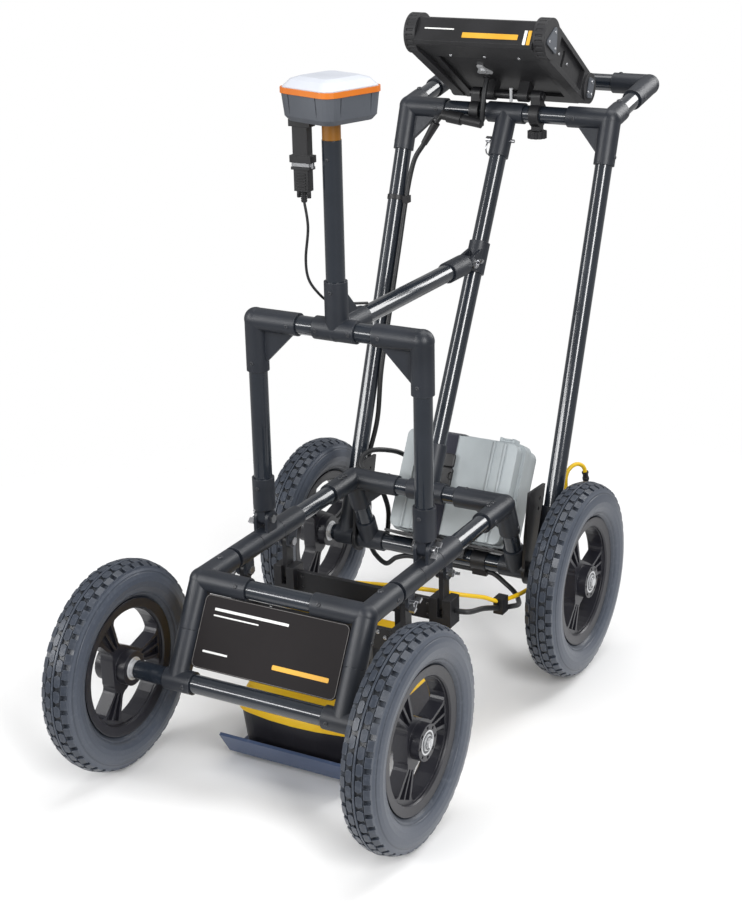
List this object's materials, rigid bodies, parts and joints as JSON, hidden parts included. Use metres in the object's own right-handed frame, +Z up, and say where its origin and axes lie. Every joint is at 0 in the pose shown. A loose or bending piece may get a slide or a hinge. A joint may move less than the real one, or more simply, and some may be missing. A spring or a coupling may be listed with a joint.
{
  "type": "ground penetrating radar cart",
  "caption": "Push cart on spoked wheels that carries a ground penetrating radar sensor under a tube frame, with a folding antenna mast, a tilting display, a battery case and a push bar.",
  "frame": {"origin": "on the ground at the middle of the outline box", "axes": "+X to the right of the cart, -Y towards the front (sensor panel) and +Y towards the push bar, +Z up"},
  "size_m": [0.5436, 1.1714, 1.0215],
  "materials": {
    "tyre": "matte",
    "rim": "satin",
    "steel": "satin",
    "tube": "gloss",
    "socket": "satin",
    "black_plate": "satin",
    "panel": "satin",
    "ochre": "satin",
    "grey": "matte",
    "orange": "satin",
    "white": "satin",
    "black_plastic": "satin",
    "cable": "matte",
    "yellow_cable": "satin",
    "tub": "satin",
    "yellow": "satin",
    "blue": "satin",
    "case": "satin",
    "webbing": "matte",
    "bumper": "matte",
    "screen": "gloss"
  },
  "bodies": {
    "chassis": {"stub_axles": "steel", "wheel_bearings": "steel", "frame_tubes": "tube", "axle_tees": "socket", "front_corners": "socket", "rear_corners": "socket", "side_plates": "black_plate", "front_panel": "panel", "gate_forks": "socket", "hanger_forks": "socket", "pivot_bolts": "steel", "wing_nuts": "steel", "pole_feet": "socket", "handle_poles": "tube", "centre_pole": "tube", "handle_fittings": "socket", "handle_tubes": "tube", "strut_saddle": "socket", "case_tray": "black_plate", "case_base": "case", "case_lid": "case", "case_latches": "case", "straps": "webbing", "black_cables": "cable", "odometer_cable": "yellow_cable", "cable_fittings": "black_plastic", "display_mount": "black_plate"},
    "wheel_fl": {"tyre_fl": "tyre", "rim_fl": "rim"},
    "wheel_fr": {"tyre_fr": "tyre", "rim_fr": "rim"},
    "wheel_rl": {"tyre_rl": "tyre", "rim_rl": "rim"},
    "wheel_rr": {"tyre_rr": "tyre", "rim_rr": "rim"},
    "mast_frame": {"gate_tubes": "tube", "gate_sockets": "socket", "gate_corners": "socket", "mast_tee": "socket", "mast_tubes": "tube", "strut_hook": "socket", "mast_collar": "ochre", "receiver_base": "grey", "receiver_band": "orange", "receiver_dome": "white", "receiver_plug": "black_plastic", "receiver_cable": "cable"},
    "front_hangers": {"front_links": "black_plate"},
    "rear_hangers": {"rear_links": "black_plate"},
    "sensor": {"sensor_frame": "black_plate", "sensor_tub": "tub", "sensor_cover": "yellow", "skid": "blue"},
    "display": {"display_body": "black_plastic", "display_bumpers": "bumper", "display_screen": "screen", "display_plates": "grey"},
    "turn_latch": {"display_latch": "steel"},
    "clamp_knob": {"mount_knob": "black_plastic"},
    "release_pin": {"pull_pin": "steel"}
  },
  "joints": [
    {"name": "wheel_fl_spin", "type": "hinge", "parent": "chassis", "child": "wheel_fl", "pos_m": [-0.241, -0.42675, 0.159], "axis": [1, 0, 0], "continuous": true},
    {"name": "wheel_fr_spin", "type": "hinge", "parent": "chassis", "child": "wheel_fr", "pos_m": [0.241, -0.42675, 0.159], "axis": [1, 0, 0], "continuous": true},
    {"name": "wheel_rl_spin", "type": "hinge", "parent": "chassis", "child": "wheel_rl", "pos_m": [-0.241, 0.14825, 0.159], "axis": [1, 0, 0], "continuous": true},
    {"name": "wheel_rr_spin", "type": "hinge", "parent": "chassis", "child": "wheel_rr", "pos_m": [0.241, 0.14825, 0.159], "axis": [1, 0, 0], "continuous": true},
    {"name": "mast_fold", "type": "hinge", "parent": "chassis", "child": "mast_frame", "pos_m": [0, -0.17875, 0.3201], "axis": [1, 0, 0], "range_deg": [0, 70]},
    {"name": "sensor_swing", "type": "hinge", "parent": "chassis", "child": "rear_hangers", "pos_m": [0, -0.11775, 0.2589], "axis": [1, 0, 0], "range_deg": [-18, 18], "deforming": ["odometer_cable"]},
    {"name": "front_hanger_swing", "type": "hinge", "parent": "chassis", "child": "front_hangers", "pos_m": [0, -0.23975, 0.2589], "axis": [1, 0, 0], "range_deg": [-18, 18]},
    {"name": "sensor_level", "type": "hinge", "parent": "rear_hangers", "child": "sensor", "pos_m": [0, -0.11775, 0.2029], "axis": [1, 0, 0], "range_deg": [-18, 18]},
    {"name": "display_tilt", "type": "hinge", "parent": "chassis", "child": "display", "pos_m": [0, 0.39825, 0.8821], "axis": [1, 0, 0], "range_deg": [-20, 24], "deforming": ["black_cables"]},
    {"name": "latch_turn", "type": "hinge", "parent": "display", "child": "turn_latch", "pos_m": [-0.028, 0.36528, 0.92746], "axis": [0, 0.5299, 0.848], "range_deg": [0, 90]},
    {"name": "knob_turn", "type": "hinge", "parent": "chassis", "child": "clamp_knob", "pos_m": [0.054, 0.39825, 0.813], "axis": [0, 0, 1], "continuous": true},
    {"name": "pin_pull", "type": "slide", "parent": "chassis", "child": "release_pin", "axis": [-1, 0, 0], "range_m": [0, 0.055]}
  ],
  "couplings": [
    {"joint": "front_hanger_swing", "follows": "sensor_swing", "ratio": 1},
    {"joint": "sensor_level", "follows": "sensor_swing", "ratio": -1}
  ]
}
